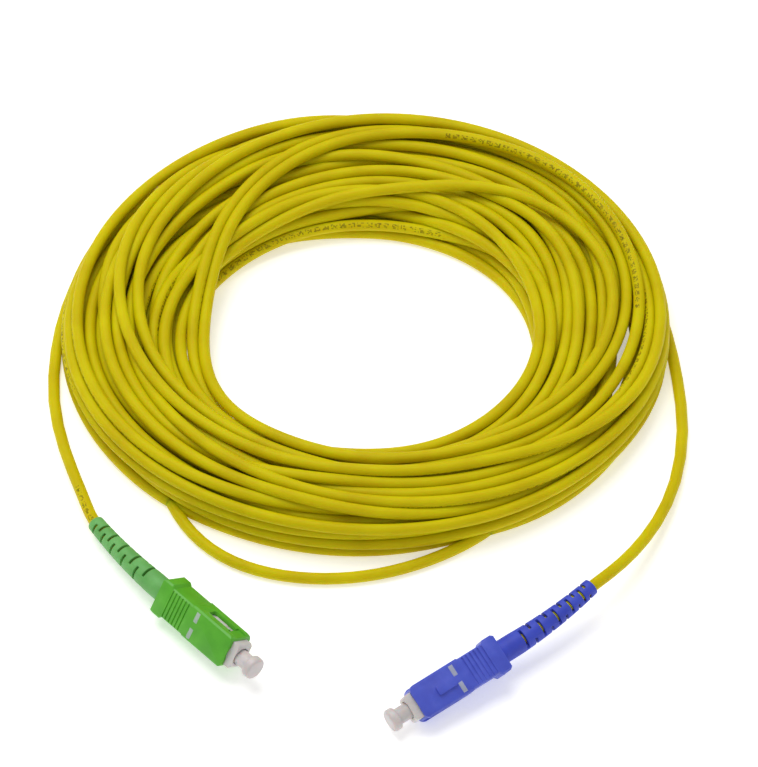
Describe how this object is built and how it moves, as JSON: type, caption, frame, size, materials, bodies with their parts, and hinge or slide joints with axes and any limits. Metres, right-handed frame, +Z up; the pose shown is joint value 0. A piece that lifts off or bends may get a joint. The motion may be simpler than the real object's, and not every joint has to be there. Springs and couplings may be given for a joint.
{
  "type": "fiber optic patch cord",
  "caption": "Loose round coil of thin yellow jacketed fiber cable with a push-pull square plug, slotted boot and dust cap on each end, one green and one blue.",
  "frame": {"origin": "centre of the coil, on the surface that the cord lies on", "axes": "+Z up out of that surface; -Y towards the two plugs; +X from the green plug's side to the blue plug's side"},
  "size_m": [0.1644, 0.194, 0.014],
  "materials": {
    "jacket_yellow": "satin extruded jacket",
    "housing_green": "satin moulded",
    "housing_blue": "satin moulded",
    "boot_green": "matte elastomer",
    "boot_blue": "matte elastomer",
    "frame_white": "satin moulded",
    "cap_milky": "milky polyethylene",
    "zirconia": "polished ceramic",
    "nickel": "nickel plated",
    "spring_steel": "drawn wire",
    "crimp_metal": "plated, crimped",
    "clear_tube": "clear sleeve",
    "buffer_white": "extruded",
    "aramid": "yarn",
    "ink_white": "stamped mark"
  },
  "bodies": {
    "cord": {"cable_coil": "jacket_yellow", "green_tail": "jacket_yellow", "green_plug_frame": "frame_white", "green_spring": "spring_steel", "green_stop_ring": "nickel", "green_buffer_guide": "clear_tube", "green_tight_buffer": "buffer_white", "green_aramid_yarn": "aramid", "green_crimp_sleeve": "crimp_metal", "green_boot": "boot_green", "blue_tail": "jacket_yellow", "blue_plug_frame": "frame_white", "blue_spring": "spring_steel", "blue_stop_ring": "nickel", "blue_buffer_guide": "clear_tube", "blue_tight_buffer": "buffer_white", "blue_aramid_yarn": "aramid", "blue_crimp_sleeve": "crimp_metal", "blue_boot": "boot_blue"},
    "green_housing": {"green_outer_housing": "housing_green"},
    "green_ferrule_unit": {"green_ferrule": "zirconia", "green_ferrule_flange": "nickel"},
    "green_cap": {"green_dust_cap": "cap_milky"},
    "blue_housing": {"blue_outer_housing": "housing_blue"},
    "blue_ferrule_unit": {"blue_ferrule": "zirconia", "blue_ferrule_flange": "nickel"},
    "blue_cap": {"blue_dust_cap": "cap_milky"}
  },
  "joints": [
    {"name": "green_housing_slide", "type": "slide", "parent": "cord", "child": "green_housing", "axis": [-0.6815, 0.7308, -0.0384], "range_m": [0, 0.0018]},
    {"name": "green_ferrule_slide", "type": "slide", "parent": "cord", "child": "green_ferrule_unit", "axis": [-0.6815, 0.7308, -0.0384], "range_m": [0, 0.0015], "stiffness_N_per_m": 2000, "deforming": ["green_spring"]},
    {"name": "green_cap_pull", "type": "slide", "parent": "green_ferrule_unit", "child": "green_cap", "axis": [0.6815, -0.7308, 0.0384], "range_m": [0, 0.012]},
    {"name": "blue_housing_slide", "type": "slide", "parent": "cord", "child": "blue_housing", "axis": [0.8216, 0.5647, 0.0785], "range_m": [0, 0.0018]},
    {"name": "blue_ferrule_slide", "type": "slide", "parent": "cord", "child": "blue_ferrule_unit", "axis": [0.8216, 0.5647, 0.0785], "range_m": [0, 0.0015], "stiffness_N_per_m": 2000, "deforming": ["blue_spring"]},
    {"name": "blue_cap_pull", "type": "slide", "parent": "blue_ferrule_unit", "child": "blue_cap", "axis": [-0.8216, -0.5647, -0.0785], "range_m": [0, 0.012]}
  ]
}
